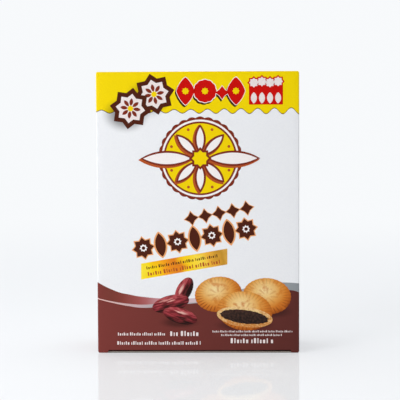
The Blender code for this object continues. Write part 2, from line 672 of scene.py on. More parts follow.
@dataclass(frozen=True)
class Finish:
    """A surface of folding boxboard, which every finish here is printed on or cut from.

    Its fibres and slow waves break up what it mirrors, and its varnish adds a soft sheen.
    """

    name: str = "board"
    roughness: float = 0.45
    roughness_swing: float = 0.04
    gloss: float = 0.10
    varnish: float = 0.05
    varnish_roughness: float = 0.28
    fibre_mm: float = 0.30
    fibre_depth_mm: float = 0.004
    wave_mm: float = 26.0
    wave_depth_mm: float = 0.030

    def colour(self, nodes: Nodes) -> Socket:
        """Gives the surface's colour.

        Args:
            nodes: The material's nodes.

        Returns:
            The colour at the shaded place.
        """
        raise NotImplementedError

    def build(self) -> bpy.types.Material:
        """Makes the material, or finds it where it has been made before.

        Returns:
            The material.
        """
        made = bpy.data.materials.get(self.name)
        if made is not None:
            return made
        made = bpy.data.materials.new(self.name)
        made.use_nodes = True
        nodes = Nodes(made.node_tree)
        at, swing = nodes.place, self.roughness_swing
        fibres = nodes.add("TexNoise", {"Vector": at, "Scale": 1 / self.fibre_mm, "Detail": 3.0})
        waves = nodes.add("TexNoise", {"Vector": at, "Scale": 1 / self.wave_mm, "Detail": 1.0})
        wave_relief = nodes.add("Math", waves, self.wave_depth_mm, operation="MULTIPLY")
        relief = nodes.add(
            "Math", fibres, self.fibre_depth_mm, wave_relief, operation="MULTIPLY_ADD"
        )
        rough = (self.roughness - swing, self.roughness + swing)
        nodes.feed(
            nodes.tree.nodes["Principled BSDF"],
            {
                "Base Color": self.colour(nodes),
                "Roughness": nodes.add("MapRange", fibres, 0.3, 0.7, *rough),
                "Normal": nodes.add("Bump", {"Height": relief, "Strength": 1.0, "Distance": MM}),
                "Specular IOR Level": self.gloss,
                "Coat Weight": self.varnish,
                "Coat Roughness": self.varnish_roughness,
            },
        )
        return made


@dataclass(frozen=True)
class Ink(Finish):
    """One printed ink under varnish: a flat tint with the faint mottle that board gives it."""

    shade: str = "#f6efe6"
    mottled: str = "#eee5da"
    mottle_mm: float = 0.8

    def colour(self, nodes: Nodes) -> Socket:
        """Mixes the ink's tint with its mottle."""
        return nodes.layer(self.shade, (nodes.patches(self.mottle_mm), self.mottled))


@dataclass(frozen=True)
class RawEdge(Finish):
    """The cut edge of recycled-core boxboard: thin grey-cream plies between two white liners."""

    name: str = "cut_boxboard_edge"
    roughness: float = 0.86
    varnish: float = 0.0
    ply_mm: float = 0.12

    def colour(self, nodes: Nodes) -> Socket:
        """Draws the plies and the fibres that the blade tore."""
        return nodes.layer("#d9d3c8", (nodes.patches(self.ply_mm, detail=4.0), "#f0ece4"))


@dataclass(frozen=True)
class UncoatedBack(Finish):
    """The inside of the board: uncoated, matt and slightly grey."""

    name: str = "uncoated_boxboard_back"
    roughness: float = 0.9
    varnish: float = 0.0
    fleck_mm: float = 0.6
    fleck_cut: Range = (0.4, 0.6)

    def colour(self, nodes: Nodes) -> Socket:
        """Flecks the grey back with fibres."""
        flecks = nodes.patches(self.fleck_mm, self.fleck_cut, detail=4.0)
        return nodes.layer("#c9c4ba", (flecks, "#ded9cf"))


@dataclass(frozen=True)
class PrintedShadow:
    """A soft shadow that is printed under a picture on the front, its spot as wide as it is."""

    spot: Spot
    depth: float
    full_at: float = 0.35


@dataclass(frozen=True)
class BoardPrint(Finish):
    """Clay-coated boxboard with its printed fields: yellow head, white middle, brown base.

    The fields run round the whole sleeve. A clay coating takes crisp edges and strong tints,
    and the varnish over it gives a soft sheen. Edges are drawn by points across and up, and
    ranges give two places and what is found at each.
    """

    name: str = "printed_clay_coated_boxboard"
    half_width: float = 75.0
    mottle_mm: float = 0.9
    white: tuple[str, str] = ("#f3f4f6", "#f0f1f4")
    yellow: tuple[str, str] = ("#f9db00", "#f6d700")
    brown: tuple[str, str] = ("#7d3833", "#5c2b26")
    head_edge: float = 179.8
    scallop_pitch: float = 12.35
    scallop_shift: tuple[float, ...] = (-62.0, -32.0, -2.2, 2.0)
    scallop_rise: tuple[float, ...] = (-30.0, 75.0, 1.15, 2.35)
    scallop_line: float = 0.30
    scallop_ink: str = "#6f4f1c"
    band_top: tuple[Range, ...] = (
        (-75, 53.3), (-70, 50.4), (-64.7, 47.9), (-57, 45.1), (-50.6, 43.8), (-44.6, 42.6),
        (-38.7, 41.9), (-30, 41.1), (-8, 40.9), (15, 43.6), (40, 49.6), (60, 52.7), (75, 52.1),
    )
    stripe_top: tuple[Range, ...] = (
        (-75, 41.3), (-64.7, 38.9), (-52, 37.0), (-40.7, 36.3), (-30, 37.1),
        (-10, 37.6), (15, 39.4), (40, 43.6), (62, 47.3), (75, 45.3),
    )
    stripe_bottom: tuple[Range, ...] = (
        (-75, 40.6), (-64.7, 37.9), (-52, 35.3), (-40.7, 34.0), (-30, 34.6),
        (-10, 36.6), (15, 39.4), (40, 43.6), (62, 47.3), (75, 45.3),
    )
    band_tints: Stops = (
        (0.0, "#7e3833"), (0.07, "#793a31"), (0.12, "#843c34"), (0.163, "#934944"),
        (0.203, "#9f514e"), (0.243, "#ae6364"), (0.272, "#b87c7f"), (0.302, "#c78f94"),
        (0.34, "#d09da3"), (0.46, "#d9c0c6"), (0.62, "#bcb9bd"), (0.84, "#9da2a6"),
        (1.0, "#92979b"),
    )
    stripe_tints: Stops = (
        (0.0, "#ecc4bd"), (0.10, "#d6b5b2"), (0.2, "#cbb0b4"), (0.28, "#b8adb1"), (0.34, "#b4aeb2"),
    )
    shadows: tuple[PrintedShadow, ...] = ()
    shadow_ink: str = "#1d0f0c"
    closure_half_width: float = 73.8
    closure_back: float = 90.0
    closure_below: float = -9.0
    closure_front: float = -29.8
    bare_front: float = -27.9
    bare_top: float = 0.5
    # Painted shade on the bottom closure: how high its fold is painted grey and its slit dark, how
    # that shade lightens up the fold, and where the slit's shade darkens towards its ends
    fold_shade_top: float = 1.1
    fold_shading: Range = (0.35, 0.85)
    slit_shade_top: float = 4.0
    slit_shade_ends: Range = (25.0, 62.0)
    crease_wear: float = 0.22
    crack_mm: float = 0.7
    crack_cut: Range = (0.50, 0.62)
    crease_x: Range = (74.45, 74.75)
    crease_y: Range = (29.45, 29.75)

    def edge_height(self, nodes: Nodes, share: Socket, points: Sequence[Range]) -> Socket:
        """Gives the height above each place across the panel of an edge drawn through given points.

        Args:
            nodes: The material's nodes.
            share: The place across, from 0 at the left crease to 1 at the right.
            points: The edge's points, each across and up in millimetres.

        Returns:
            The height in millimetres.
        """
        low = min(height for _, height in points) - 1
        high = max(height for _, height in points) + 1
        bend = nodes.add("FloatCurve", {"Value": share})
        line = bend.node.mapping.curves[0]
        for number, (across, height) in enumerate(points):
            at = ((across + self.half_width) / (2 * self.half_width), (height - low) / (high - low))
            if 0 < number < len(points) - 1:
                line.points.new(*at)
            else:
                line.points[-1 if number else 0].location = at
        bend.node.mapping.update()
        return nodes.add("MapRange", bend, 0.0, 1.0, low, high)

    def colour(self, nodes: Nodes) -> Socket:
        """Lays the fields over each other, then their shading and their wear.

        Args:
            nodes: The material's nodes.

        Returns:
            The colour at the shaded place.
        """
        x, _, z = nodes.add("SeparateXYZ", nodes.place).node.outputs
        share = nodes.add("MapRange", x, -self.half_width, self.half_width)
        mottle = nodes.patches(self.mottle_mm)
        white = nodes.layer(self.white[0], (mottle, self.white[1]))
        yellow = nodes.layer(self.yellow[0], (mottle, self.yellow[1]))
        paint = white
        for edge, tint in (
            (self.band_top, nodes.add("ValToRGB", share, stops=self.band_tints)),
            (self.stripe_top, nodes.add("ValToRGB", share, stops=self.stripe_tints)),
            (self.stripe_bottom, nodes.layer(self.brown[0], (share, self.brown[1]))),
        ):
            height = self.edge_height(nodes, share, edge)
            paint = nodes.layer(paint, (nodes.add("Math", z, height, operation="LESS_THAN"), tint))
        scallops = self.scallop_height(nodes)
        head = nodes.add("Math", z, scallops, operation="GREATER_THAN")
        line = nodes.add("Math", z, scallops, self.scallop_line, operation="COMPARE")
        paint = nodes.layer(paint, (head, yellow), (line, self.scallop_ink))
        paint = self.add_shadows(nodes, paint)
        paint = self.bare_base_with_painted_shade(nodes, paint, white)
        return self.wear_creases(nodes, paint)

    def scallop_height(self, nodes: Nodes) -> Socket:
        """Gives the height of the head's scalloped edge, which waves on round the sleeve.

        Args:
            nodes: The material's nodes.

        Returns:
            The height in millimetres.
        """
        x, y, _ = nodes.add("SeparateXYZ", nodes.place).node.outputs
        shift = nodes.add("MapRange", x, *self.scallop_shift)
        rise = nodes.add("MapRange", x, *self.scallop_rise)
        round_sleeve = nodes.add("Math", x, y, operation="ADD")
        shifted = nodes.add("Math", round_sleeve, shift, operation="SUBTRACT")
        angle = nodes.add("Math", shifted, math.tau / self.scallop_pitch, operation="MULTIPLY")
        wave = nodes.add("Math", angle, operation="COSINE")
        return nodes.add("Math", wave, rise, self.head_edge, operation="MULTIPLY_ADD")

    def bare_base_with_painted_shade(self, nodes: Nodes, paint: Socket, white: Socket) -> Socket:
        """Leaves the bottom closure unprinted, and paints shade on its fold and in the slit above.

        Args:
            nodes: The material's nodes.
            paint: The colour so far.
            white: The bare clay's colour.

        Returns:
            The colour with the closure's.
        """
        x, _, z = nodes.add("SeparateXYZ", nodes.place).node.outputs
        side, below = self.closure_half_width, self.closure_below
        front = (-side, self.closure_front, below)
        slit = nodes.in_box(front, (side, 0.0, self.slit_shade_top))
        fold = nodes.in_box(front, (side, 0.0, self.fold_shade_top))
        bare_from, bare_to = (-side, self.bare_front, below), (side, self.closure_back, self.bare_top)
        bare = nodes.in_box(bare_from, bare_to)
        from_middle = nodes.add("Math", x, operation="ABSOLUTE")
        darker_towards_ends = nodes.add("MapRange", from_middle, *self.slit_shade_ends)
        lighter_up_fold = nodes.add("MapRange", z, *self.fold_shading)
        # Painted shade: the slit is painted dark where the lip overhangs it, darkest towards its ends,
        # and the fold is painted grey, darkest at its foot where the contact shadow lies
        slit_painted_shade = nodes.layer("#45332e", (darker_towards_ends, "#1a0b08"))
        fold_painted_shade = nodes.layer("#453e3a", (lighter_up_fold, "#a89d92"))
        return nodes.layer(paint, (slit, slit_painted_shade), (fold, fold_painted_shade), (bare, white))

    def add_shadows(self, nodes: Nodes, paint: Socket) -> Socket:
        """Darkens the print softly under each picture on the front.

        Args:
            nodes: The material's nodes.
            paint: The colour so far.

        Returns:
            The darkened colour.
        """
        depth = nodes.add("SeparateXYZ", nodes.place, out=1)
        on_front = nodes.add("Math", depth, -1.0, operation="LESS_THAN")
        for shadow in self.shadows:
            feeds = {"Vector": nodes.place, **shadow.spot.mapping()}
            seen = nodes.add("Mapping", feeds, vector_type="TEXTURE")
            reach = nodes.add("VectorMath", seen, operation="LENGTH", out="Value")
            fade = (reach, 1.0, shadow.full_at, 0.0, shadow.depth)
            dark = nodes.add("MapRange", *fade, interpolation_type="SMOOTHSTEP")
            dark = nodes.add("Math", dark, on_front, operation="MULTIPLY")
            paint = nodes.layer(paint, (dark, self.shadow_ink))
        return paint

    def wear_creases(self, nodes: Nodes, paint: Socket) -> Socket:
        """Lets the white clay show in fine cracks along the upright creases.

        Args:
            nodes: The material's nodes.
            paint: The colour so far.

        Returns:
            The worn colour.
        """
        worn = nodes.patches(self.crack_mm, self.crack_cut, (0.0, self.crease_wear), detail=4.0)
        x, y, _ = nodes.add("SeparateXYZ", nodes.place).node.outputs
        for part, edge in ((x, self.crease_x), (y, self.crease_y)):
            from_middle = nodes.add("Math", part, operation="ABSOLUTE")
            near = nodes.add("MapRange", from_middle, *edge)
            worn = nodes.add("Math", worn, near, operation="MULTIPLY")
        return nodes.layer(paint, (worn, "#efe6dc"))


@dataclass(frozen=True)
class GoldFoil(Finish):
    """A strip printed in gold: glints of yellow and orange that run along it."""

    name: str = "gold_gradient_ink"
    stops: Stops = (
        (0.0, "#ffe840"), (0.10, "#ffdc10"), (0.28, "#fba41a"), (0.42, "#e8821c"),
        (0.55, "#ffd61a"), (0.70, "#ffe04a"), (0.82, "#efb03a"), (0.93, "#c8912c"),
        (1.0, "#dcaa45"),
    )
    ends: Range = (-42.4, 21.7)
    lean: float = 0.25
    lean_from: float = 66.0
    drift_mm: float = 9.0
    drift_cut: Range = (0.3, 0.7)
    drift: float = 0.05

    def colour(self, nodes: Nodes) -> Socket:
        """Runs the glints along the strip, leaning a little.

        Args:
            nodes: The material's nodes.

        Returns:
            The colour at the shaded place.
        """
        x, _, z = nodes.add("SeparateXYZ", nodes.place).node.outputs
        start = nodes.add("Math", x, -self.lean * self.lean_from, operation="ADD")
        along = nodes.add("Math", z, self.lean, start, operation="MULTIPLY_ADD")
        share = nodes.add("MapRange", along, *self.ends)
        drift = nodes.patches(self.drift_mm, self.drift_cut, (-self.drift, self.drift), detail=1.0)
        drifted = nodes.add("Math", share, drift, operation="ADD")
        return nodes.add("ValToRGB", drifted, stops=self.stops)


@dataclass(frozen=True)
class CrustPicture(Finish):
    """A picture of a shortbread crust: pale on its top, golden and fluted round its rim.

    Ranges are of the way out from its middle, 1 being its rim, unless they say otherwise.
    """

    name: str = "crust_picture_ink"
    spot: Spot = Spot()
    flutes: float = 34.0
    rosette: float = 8.0
    lit_from: Spot = Spot(-0.12, 0.30, 0.0, 1.18, 1.32)
    dome_tints: Stops = (
        (0.0, "#f9e0a6"), (0.28, "#f2cb84"), (0.52, "#e6a550"),
        (0.74, "#d67f2a"), (0.92, "#b9611a"), (1.0, "#95450f"),
    )
    flute_range: Range = (0.60, 0.80)
    flute_waves: Range = (0.15, 0.95)
    flute_shade: tuple[float, ...] = (0.35, -0.5, 0.225, 0.9)
    rosette_inner: Range = (0.10, 0.20)
    rosette_outer: Range = (0.52, 0.42)
    rosette_waves: tuple[float, ...] = (0.3, 0.9, 0.0, 0.45)
    baked_mm: float = 4.5
    baked_cut: Range = (0.52, 0.66)
    baked_share: Range = (0.0, 0.62)
    crumb_mm: float = 0.9
    crumb_share: Range = (0.0, 0.16)

    def colour(self, nodes: Nodes) -> Socket:
        """Shades the dome, then adds its flutes, its rosette and its baked spots.

        Args:
            nodes: The material's nodes.

        Returns:
            The colour at the shaded place.
        """
        feeds = {"Vector": nodes.place, **self.spot.mapping()}
        seen = nodes.add("Mapping", feeds, vector_type="TEXTURE")
        from_light = nodes.add(
            "Mapping", {"Vector": seen, **self.lit_from.mapping()}, vector_type="TEXTURE"
        )
        reach = nodes.add("VectorMath", seen, operation="LENGTH", out="Value")
        lit = nodes.add("VectorMath", from_light, operation="LENGTH", out="Value")
        dome = nodes.add("ValToRGB", lit, stops=self.dome_tints)
        along, _, across = nodes.add("SeparateXYZ", seen).node.outputs
        angle = nodes.add("Math", across, along, operation="ARCTAN2")

        def waves(count: float, *limits: float) -> Socket:
            """Gives waves that go round the crust, held between limits."""
            turned = nodes.add("Math", angle, count, operation="MULTIPLY")
            return nodes.add("MapRange", nodes.add("Math", turned, operation="COSINE"), *limits)

        def ring(*limits: float) -> Socket:
            """Gives a share that eases in on the way out."""
            return nodes.add("MapRange", reach, *limits, interpolation_type="SMOOTHSTEP")

        def product(*shares: Socket) -> Socket:
            """Multiplies shares."""
            return reduce(lambda a, b: nodes.add("Math", a, b, operation="MULTIPLY"), shares)

        shaded = nodes.add("MapRange", across, *self.flute_shade)
        grooves = product(waves(self.flutes, *self.flute_waves), ring(*self.flute_range), shaded)
        pressed = product(
            waves(self.rosette, *self.rosette_waves),
            ring(*self.rosette_inner),
            ring(*self.rosette_outer),
        )
        return nodes.layer(
            dome,
            (grooves, "#8f3f0e"),
            (pressed, "#cf8540"),
            (nodes.patches(self.baked_mm, self.baked_cut, self.baked_share), "#d07322"),
            (nodes.patches(self.crumb_mm, span_of=self.crumb_share), "#b87434"),
        )


@dataclass(frozen=True)
class FilledPicture(Finish):
    """A picture of a soft mass in two close tones, such as crumb or date paste, lit from above."""

    name: str = "filling_picture_ink"
    light: str = "#452e26"
    dark: str = "#231815"
    foot_and_top: Range = (20.0, 36.0)
    grain_mm: float = 1.6
    lumpiness: float = 0.45

    def colour(self, nodes: Nodes) -> Socket:
        """Grades the mass from its foot to its top and breaks it up with lumps.

        Args:
            nodes: The material's nodes.

        Returns:
            The colour at the shaded place.
        """
        height = nodes.add("SeparateXYZ", nodes.place, out=2)
        share = nodes.add("MapRange", height, *self.foot_and_top)
        lumps = nodes.patches(self.grain_mm, span_of=(-self.lumpiness, self.lumpiness))
        uneven = nodes.add("Math", share, lumps, operation="ADD")
        return nodes.layer(self.dark, (uneven, self.light))


@dataclass(frozen=True)
class DatePicture(Finish):
    """A picture of a dried date: dark red, glossy on its back and wrinkled along its length."""

    name: str = "date_picture_ink"
    spot: Spot = Spot()
    skin_tints: Stops = (
        (0.0, "#1f0d0b"), (0.20, "#3c1614"), (0.46, "#76252a"),
        (0.70, "#ab3c44"), (0.86, "#c05a5c"), (1.0, "#7c2a2c"),
    )
    wrinkle_mm: float = 1.5
    wrinkle_stretch: float = 0.16
    wrinkle_shift: float = 0.37
    ripple: tuple[float, ...] = (0.36, 0.64, -0.30, 0.30)
    glint_at: Spot = Spot(-0.12, 0.42, 0.0, 0.66, 0.30)
    glint_fade: tuple[float, ...] = (1.0, 0.2, 0.0, 0.85)
    glint_breaks: Range = (0.46, 0.56)
    end_shade: tuple[float, ...] = (0.7, 1.0, 0.0, 0.5)

    def colour(self, nodes: Nodes) -> Socket:
        """Rounds the date, wrinkles its skin and puts the softbox's glint on it.

        Args:
            nodes: The material's nodes.

        Returns:
            The colour at the shaded place.
        """
        feeds = {"Vector": nodes.place, **self.spot.mapping()}
        seen = nodes.add("Mapping", feeds, vector_type="TEXTURE")
        along, _, across = nodes.add("SeparateXYZ", seen).node.outputs
        stretch = self.spot.wide * self.wrinkle_stretch
        stretched = nodes.add(
            "CombineXYZ",
            nodes.add("Math", along, stretch, operation="MULTIPLY"),
            nodes.add("Math", across, self.spot.tall, operation="MULTIPLY"),
            self.wrinkle_shift * self.spot.u,
        )
        wrinkle = nodes.add(
            "TexNoise", {"Vector": stretched, "Scale": 1 / self.wrinkle_mm, "Detail": 3.0}
        )
        ripple = nodes.add("MapRange", wrinkle, *self.ripple)
        rounding = nodes.add("MapRange", across, -1.0, 1.0)
        rippled = nodes.add("Math", rounding, ripple, operation="ADD")
        skin = nodes.add("ValToRGB", rippled, stops=self.skin_tints)
        from_middle = nodes.add("Math", along, operation="ABSOLUTE")
        ends = nodes.add("MapRange", from_middle, *self.end_shade)
        from_glint = nodes.add(
            "Mapping", {"Vector": seen, **self.glint_at.mapping()}, vector_type="TEXTURE"
        )
        reach = nodes.add("VectorMath", from_glint, operation="LENGTH", out="Value")
        fade = nodes.add("MapRange", reach, *self.glint_fade, interpolation_type="SMOOTHSTEP")
        breaks = nodes.add("MapRange", wrinkle, *self.glint_breaks)
        glint = nodes.add("Math", fade, breaks, operation="MULTIPLY")
        return nodes.layer(skin, (ends, "#3a1513"), (glint, "#f0c6b8"))


def ring_of(count: int, radius: float, start: float = 0.0) -> list[Spot]:
    """Gives evenly turned spots round a circle.

    Args:
        count: How many spots there are.
        radius: How far from the middle each one lies.
        start: The first one's angle, clockwise from the top in degrees.

    Returns:
        The spots.
    """
    spots = []
    for number in range(count):
        degrees = start + 360 * number / count
        angle = math.radians(degrees)
        spots.append(Spot(radius * math.sin(angle), radius * math.cos(angle), -degrees))
    return spots


def rim_plate(radius: float, profile: Sequence[float] = (1.0,), repeats: int = 64) -> Thing:
    """Draws a flat plate whose rim repeats a profile of radii round its middle.

    Args:
        radius: The plate's full radius in millimetres.
        profile: Each rim point's share of the radius, clockwise from the top.
        repeats: How often the profile goes round.

    Returns:
        The plate.
    """
    take()
    count = repeats * len(profile)
    bpy.ops.mesh.primitive_cylinder_add(
        vertices=count, radius=radius, depth=1, end_fill_type="TRIFAN", rotation=(math.pi / 2, 0, 0)
    )
    plate = bpy.context.object
    bpy.ops.object.transform_apply()
    with editing(plate):
        numbers = []
        for vert in bmesh.from_edit_mesh(plate.data).verts:
            on_rim = math.hypot(vert.co.x, vert.co.z) > radius / 100
            number = round(math.atan2(vert.co.x, vert.co.z) / math.tau * count) % len(profile)
            numbers.append(number if on_rim else None)
        for number, share in enumerate(profile):
            if share != 1.0:
                pick("VERT", lambda vert: numbers[vert.index] == number)
                bpy.ops.transform.resize(value=(share, 1, share), center_override=(0, 0, 0))
    return plate


def star_plate(radius: float, points: int = 8, waist: float = 0.72) -> Thing:
    """Draws a star whose sides run straight from each point to its waist."""
    return rim_plate(radius, (1.0, waist), points)


def tile_star(radius: float) -> Thing:
    """Draws the blunt star of eight points that two turned squares make."""
    return star_plate(radius, 8, 0.765)


def lozenge_plate(radius: float, power: float = 1.32, steps: int = 12) -> Thing:
    """Draws a lozenge with swollen sides.

    Args:
        radius: From its middle to each tip.
        power: How full its sides are, from 1 for straight to 2 for a disc.
        steps: How many rim points each side has.

    Returns:
        The lozenge.
    """
    profile = []
    for step in range(steps):
        angle = math.pi / 2 * step / steps
        profile.append((math.cos(angle) ** power + math.sin(angle) ** power) ** (-1 / power))
    return rim_plate(radius, profile, 4)


def scallop_plate(radius: float, lobes: int, dip: float, steps: int = 8) -> Thing:
    """Draws a disc with round lobes, between which its rim dips to a share of its radius."""
    heights = [abs(math.cos(math.pi * step / steps)) for step in range(steps)]
    return rim_plate(radius, [1 - (1 - dip) * (1 - height) for height in heights], lobes)


def petal_plate(length: float, width: float, steps: int = 10) -> Thing:
    """Draws an upright pointed petal between two arcs.

    Args:
        length: From tip to tip.
        width: Across its middle.
        steps: How many points each quarter of its rim has.

    Returns:
        The petal.
    """
    half, side = length / 2, width / 2
    arc = (half**2 + side**2) / (2 * side)
    profile = [1.0]
    for step in range(1, 2 * steps):
        offset = (arc - side) * math.sin(math.pi * step / (2 * steps))
        profile.append((math.hypot(offset, half) - offset) / half)
    return rim_plate(half, profile, 2)


def bar_plate(width: float, height: float, corner: float = 0.0, rise: float = 0.0) -> Thing:
    """Draws an upright block with eased corners, its right end raised.

    Args:
        width: The block's width.
        height: The block's height.
        corner: The radius of its corners.
        rise: How much higher its right end stands than its left.

    Returns:
        The block.
    """
    take()
    bpy.ops.mesh.primitive_cube_add(size=1, scale=(width, 1, height))
    plate = bpy.context.object
    bpy.ops.object.transform_apply()
    with editing(plate):
        if corner:
            pick("EDGE", lambda edge: span(edge, 1) > 0.5)
            bpy.ops.mesh.bevel(offset=corner, segments=4, affect="EDGES")
        if rise:
            for side in (1, -1):
                pick("VERT", lambda vert: vert.co.x * side > 0)
                bpy.ops.transform.translate(value=(0, 0, side * rise / 2))
    return plate


def copies(plate: Thing, spots: Sequence[Spot]) -> Thing:
    """Copies a plate to each spot, each copy with its own mesh, and joins them.

    Args:
        plate: The drawing, which is used up.
        spots: Where the copies go.

    Returns:
        The joined copies.
    """
    made = []
    for spot in spots:
        copy = plate.copy()
        copy.data = plate.data.copy()
        bpy.context.scene.collection.objects.link(copy)
        copy.location = (spot.u, 0, spot.v)
        copy.rotation_euler = (0, -math.radians(spot.turn), 0)
        copy.scale = (spot.wide, 1, spot.tall)
        made.append(copy)
    bpy.data.objects.remove(plate, do_unlink=True)
    take(*made)
    bpy.ops.object.transform_apply()
    if len(made) > 1:
        bpy.ops.object.join()
    return bpy.context.object


@dataclass
class Press:
    """Lays plates of ink on the carton's panels, each a little proud of the one below."""

    form: Form
    step: float = 0.018 * MM
    sunk: float = 0.045 * MM
    cell: float = 9.0
    smooth_degrees: float = 30
    printed: list[Thing] = field(default_factory=list)

    def lay(
        self,
        name: str,
        plate: Thing,
        ink: Finish,
        level: float = 1,
        panel: Panel = Panel.FRONT,
        spots: Sequence[Spot] = (Spot(),),
    ) -> None:
        """Lays one drawing on a panel, following the panel's swell.

        Args:
            name: The finished piece's name.
            plate: The drawing, flat and in millimetres.
            ink: The ink that it is printed in.
            level: How many steps it stands proud of the board.
            panel: The panel that it goes on.
            spots: Where its copies go.
        """
        plate = copies(plate, spots)
        plate.name = f"print_{name}"
        self.slice_up(plate)
        stand = panel.stand(self.form)
        for vert in plate.data.vertices:
            u, v = vert.co.x * MM, vert.co.z * MM
            depth = self.sunk if vert.co.y > 0 else -self.step * level
            vert.co = stand @ Vector((u, depth - self.form.out(panel, u, v), v))
        take(plate)
        bpy.ops.object.shade_smooth_by_angle(angle=math.radians(self.smooth_degrees))
        plate.data.materials.append(ink.build())
        self.printed.append(plate)

    def slice_up(self, plate: Thing) -> None:
        """Cuts a wide plate into cells, so that it can follow a swollen panel.

        Args:
            plate: The flat plate.
        """
        with editing(plate):
            for axis, normal in ((0, (1, 0, 0)), (2, (0, 0, 1))):
                places = [vert.co[axis] for vert in bmesh.from_edit_mesh(plate.data).verts]
                low, high = min(places), max(places)
                for number in range(1, math.floor((high - low) / self.cell) + 1):
                    bpy.ops.mesh.select_all(action="SELECT")
                    where = [0, 0, 0]
                    where[axis] = low + self.cell * number
                    bpy.ops.mesh.bisect(plane_co=where, plane_no=normal)


# Offset inks under varnish: flat and even to the eye, with a faint mottle close to
MAROON_INK = Ink("maroon_ink", shade="#86311f", mottled="#782a1b")
GOLDEN_INK = Ink("golden_yellow_ink", shade="#f8d800", mottled="#f4d300")
BISTRE_INK = Ink("bistre_ink", shade="#521f0e", mottled="#4b1e10")
RED_INK = Ink("warm_red_ink", shade="#d40a04", mottled="#c60d05")
SHADE_INK = Ink("drop_shadow_ink", shade="#4a2f12", mottled="#3c260f")
PEACH_INK = Ink("peach_halo_ink", shade="#f2ad74", mottled="#eea364")
TERRACOTTA_INK = Ink("terracotta_ink", shade="#bd5a28", mottled="#b04f22")

# Bare clay coating under varnish: the board's white, a little warmer where ink spreads into it
PALE_INK = Ink("unprinted_white_clay", shade="#fbf5f3", mottled="#f6efee")
CREAM_INK = Ink("cream_reversed_out_clay", shade="#f3e8e6", mottled="#ebdfdd")


@dataclass(frozen=True)
class Medallion:
    """A round scalloped medallion: six petals and two long wings round a star.

    The sizes of its parts are shares of its radius. A leaf is given as its length, its width
    and how far from the middle it lies, and a coat of ink on it as how far it runs over the
    leaf and how far it lies down to the left.
    """

    name: str
    middle: Spot = Spot(1.9, 145.0)
    radius: float = 31.0
    panel: Panel = Panel.FRONT
    rim_lobes: int = 28
    rim_dip: float = 0.965
    rings: tuple[tuple[str, float, Ink], ...] = (
        ("pale_ring", 0.925, PALE_INK),
        ("inner_ring", 0.878, MAROON_INK),
        ("field", 0.835, GOLDEN_INK),
    )
    petal: tuple[float, float, float] = (0.58, 0.17, 0.455)
    wing: tuple[float, float, float] = (1.14, 0.27, 0.79)
    leaf_coats: tuple[tuple[str, float, float, Ink], ...] = (
        ("shades", 0.125, 0.034, TERRACOTTA_INK),
        ("edges", 0.10, 0.0, MAROON_INK),
        ("fills", 0.0, 0.0, PALE_INK),
    )
    tip_growth: float = 1.4
    stars: tuple[tuple[str, float, Ink], ...] = (
        ("star_edge", 0.27, MAROON_INK),
        ("star", 0.20, GOLDEN_INK),
    )
    bead: float = 0.034
    beads_at: float = 0.74

    def print_on(self, press: Press) -> None:
        """Prints the medallion from its rim inwards.

        Args:
            press: The press to print with.
        """
        size, middle = self.radius, self.middle

        def lay(part: str, plate: Thing, ink: Ink, level: float, *spots: Spot) -> None:
            """Lays one layer on its spots round the middle, or on the middle itself."""
            moved = [Spot(s.u + middle.u, s.v + middle.v, s.turn) for s in spots or (Spot(),)]
            press.lay(f"{self.name}_{part}", plate, ink, level, self.panel, moved)

        lay("rim", scallop_plate(size, self.rim_lobes, self.rim_dip), MAROON_INK, 1)
        for level, (part, share, ink) in enumerate(self.rings, 2):
            lay(part, rim_plate(size * share), ink, level)
        # The wings take the places of the petals at either side
        petals = [s for number, s in enumerate(ring_of(8, size * self.petal[2])) if number % 4 != 2]
        wings = ring_of(2, size * self.wing[2], 90)
        for level, (part, grow, drop, ink) in enumerate(self.leaf_coats, 5):
            for name, (length, width, _), spots in (
                ("petal", self.petal, petals),
                ("wing", self.wing, wings),
            ):
                moved = [Spot(s.u - drop * size, s.v - drop * size, s.turn) for s in spots]
                long, wide = size * (length + grow * self.tip_growth), size * (width + grow)
                lay(f"{name}_{part}", petal_plate(long, wide), ink, level, *moved)
        for level, (part, share, ink) in enumerate(self.stars, 8):
            lay(part, tile_star(size * share), ink, level)
        bead = rim_plate(size * self.bead, repeats=16)
        lay("beads", bead, TERRACOTTA_INK, 5, *ring_of(8, size * self.beads_at, 22.5))


